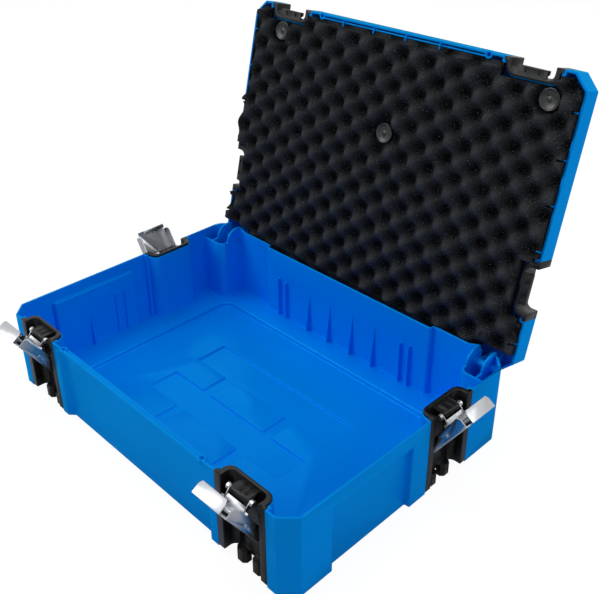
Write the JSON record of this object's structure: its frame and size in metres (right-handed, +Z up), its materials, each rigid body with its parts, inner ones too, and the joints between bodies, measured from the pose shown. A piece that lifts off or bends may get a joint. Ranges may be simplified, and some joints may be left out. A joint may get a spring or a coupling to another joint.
{
  "type": "hard tool case",
  "caption": "Shallow moulded tool case with a hinged lid lined in egg-tray foam and steel draw latches in black carriers on the front and sides.",
  "frame": {"origin": "middle of the flat underside of the nesting foot, on the ground", "axes": "+X along the hinge line to the right as seen from the front, +Y from the front latches to the hinge, +Z up"},
  "size_m": [0.5538, 0.47, 0.405],
  "materials": {
    "blue_shell": "moulded polypropylene, satin gloss, blue",
    "black_moulding": "glass-filled nylon, fine grain, black",
    "zinc_steel": "bent sheet steel, bright zinc plate",
    "pin_steel": "turned steel rod, zinc plate",
    "foam": "open-cell polyurethane foam, egg-tray profile, black",
    "smoked_button": "moulded, slightly glossy, dark grey"
  },
  "bodies": {
    "base": {"base_shell": "blue_shell", "hinge_pin_left": "pin_steel", "hinge_pin_right": "pin_steel", "latch_carrier_front_left": "black_moulding", "latch_carrier_front_right": "black_moulding", "latch_carrier_left": "black_moulding", "latch_carrier_right": "black_moulding", "latch_axle_front_left": "pin_steel", "latch_axle_front_right": "pin_steel", "latch_axle_left": "pin_steel", "latch_axle_right": "pin_steel"},
    "lid": {"lid_shell": "blue_shell", "lid_foam": "foam", "lid_catch_front_left": "black_moulding", "lid_catch_front_right": "black_moulding", "lid_catch_left": "black_moulding", "lid_catch_right": "black_moulding", "handle_pin_left": "pin_steel", "handle_pin_right": "pin_steel", "foam_button_front_left": "smoked_button", "foam_button_front_right": "smoked_button", "foam_button_middle": "smoked_button"},
    "carry_handle": {"carry_handle": "black_moulding"},
    "latch_link_front_left": {"latch_link_front_left": "zinc_steel"},
    "latch_lever_front_left": {"latch_lever_front_left": "zinc_steel", "lever_rivet_front_left": "pin_steel"},
    "latch_link_front_right": {"latch_link_front_right": "zinc_steel"},
    "latch_lever_front_right": {"latch_lever_front_right": "zinc_steel", "lever_rivet_front_right": "pin_steel"},
    "latch_link_left": {"latch_link_left": "zinc_steel"},
    "latch_lever_left": {"latch_lever_left": "zinc_steel", "lever_rivet_left": "pin_steel"},
    "latch_link_right": {"latch_link_right": "zinc_steel"},
    "latch_lever_right": {"latch_lever_right": "zinc_steel", "lever_rivet_right": "pin_steel"}
  },
  "joints": [
    {"name": "lid_hinge", "type": "hinge", "parent": "base", "child": "lid", "pos_m": [0, 0.158, 0.092], "axis": [1, 0, 0], "range_deg": [0, 103.2]},
    {"name": "link_swing_front_left", "type": "hinge", "parent": "base", "child": "latch_link_front_left", "pos_m": [-0.1765, -0.162, 0.0965], "axis": [1, 0, 0], "range_deg": [0, 50.6]},
    {"name": "lever_swing_front_left", "type": "hinge", "parent": "latch_link_front_left", "child": "latch_lever_front_left", "pos_m": [-0.1765, -0.17599, 0.08501], "axis": [1, 0, 0], "range_deg": [-83.4, 0]},
    {"name": "link_swing_front_right", "type": "hinge", "parent": "base", "child": "latch_link_front_right", "pos_m": [0.1765, -0.162, 0.0965], "axis": [1, 0, 0], "range_deg": [0, 50.6]},
    {"name": "lever_swing_front_right", "type": "hinge", "parent": "latch_link_front_right", "child": "latch_lever_front_right", "pos_m": [0.1765, -0.17599, 0.08501], "axis": [1, 0, 0], "range_deg": [-83.4, 0]},
    {"name": "link_swing_left", "type": "hinge", "parent": "base", "child": "latch_link_left", "pos_m": [-0.237, 0.0635, 0.0965], "axis": [0, -1, 0], "range_deg": [0, 50.6]},
    {"name": "lever_swing_left", "type": "hinge", "parent": "latch_link_left", "child": "latch_lever_left", "pos_m": [-0.25099, 0.0635, 0.08501], "axis": [0, -1, 0], "range_deg": [-83.4, 0]},
    {"name": "link_swing_right", "type": "hinge", "parent": "base", "child": "latch_link_right", "pos_m": [0.237, 0.0635, 0.0965], "axis": [0, 1, 0], "range_deg": [0, 50.6]},
    {"name": "lever_swing_right", "type": "hinge", "parent": "latch_link_right", "child": "latch_lever_right", "pos_m": [0.25099, 0.0635, 0.08501], "axis": [0, 1, 0], "range_deg": [-83.4, 0]},
    {"name": "carry_handle_swing", "type": "hinge", "parent": "lid", "child": "carry_handle", "pos_m": [0, 0.22293, 0.26371], "axis": [1, 0, 0], "range_deg": [0, 90]}
  ],
  "couplings": [
    {"joint": "lever_swing_front_left", "follows": "link_swing_front_left", "ratio": -1.6482},
    {"joint": "lever_swing_front_right", "follows": "link_swing_front_right", "ratio": -1.6482},
    {"joint": "lever_swing_left", "follows": "link_swing_left", "ratio": -1.6482},
    {"joint": "lever_swing_right", "follows": "link_swing_right", "ratio": -1.6482}
  ]
}
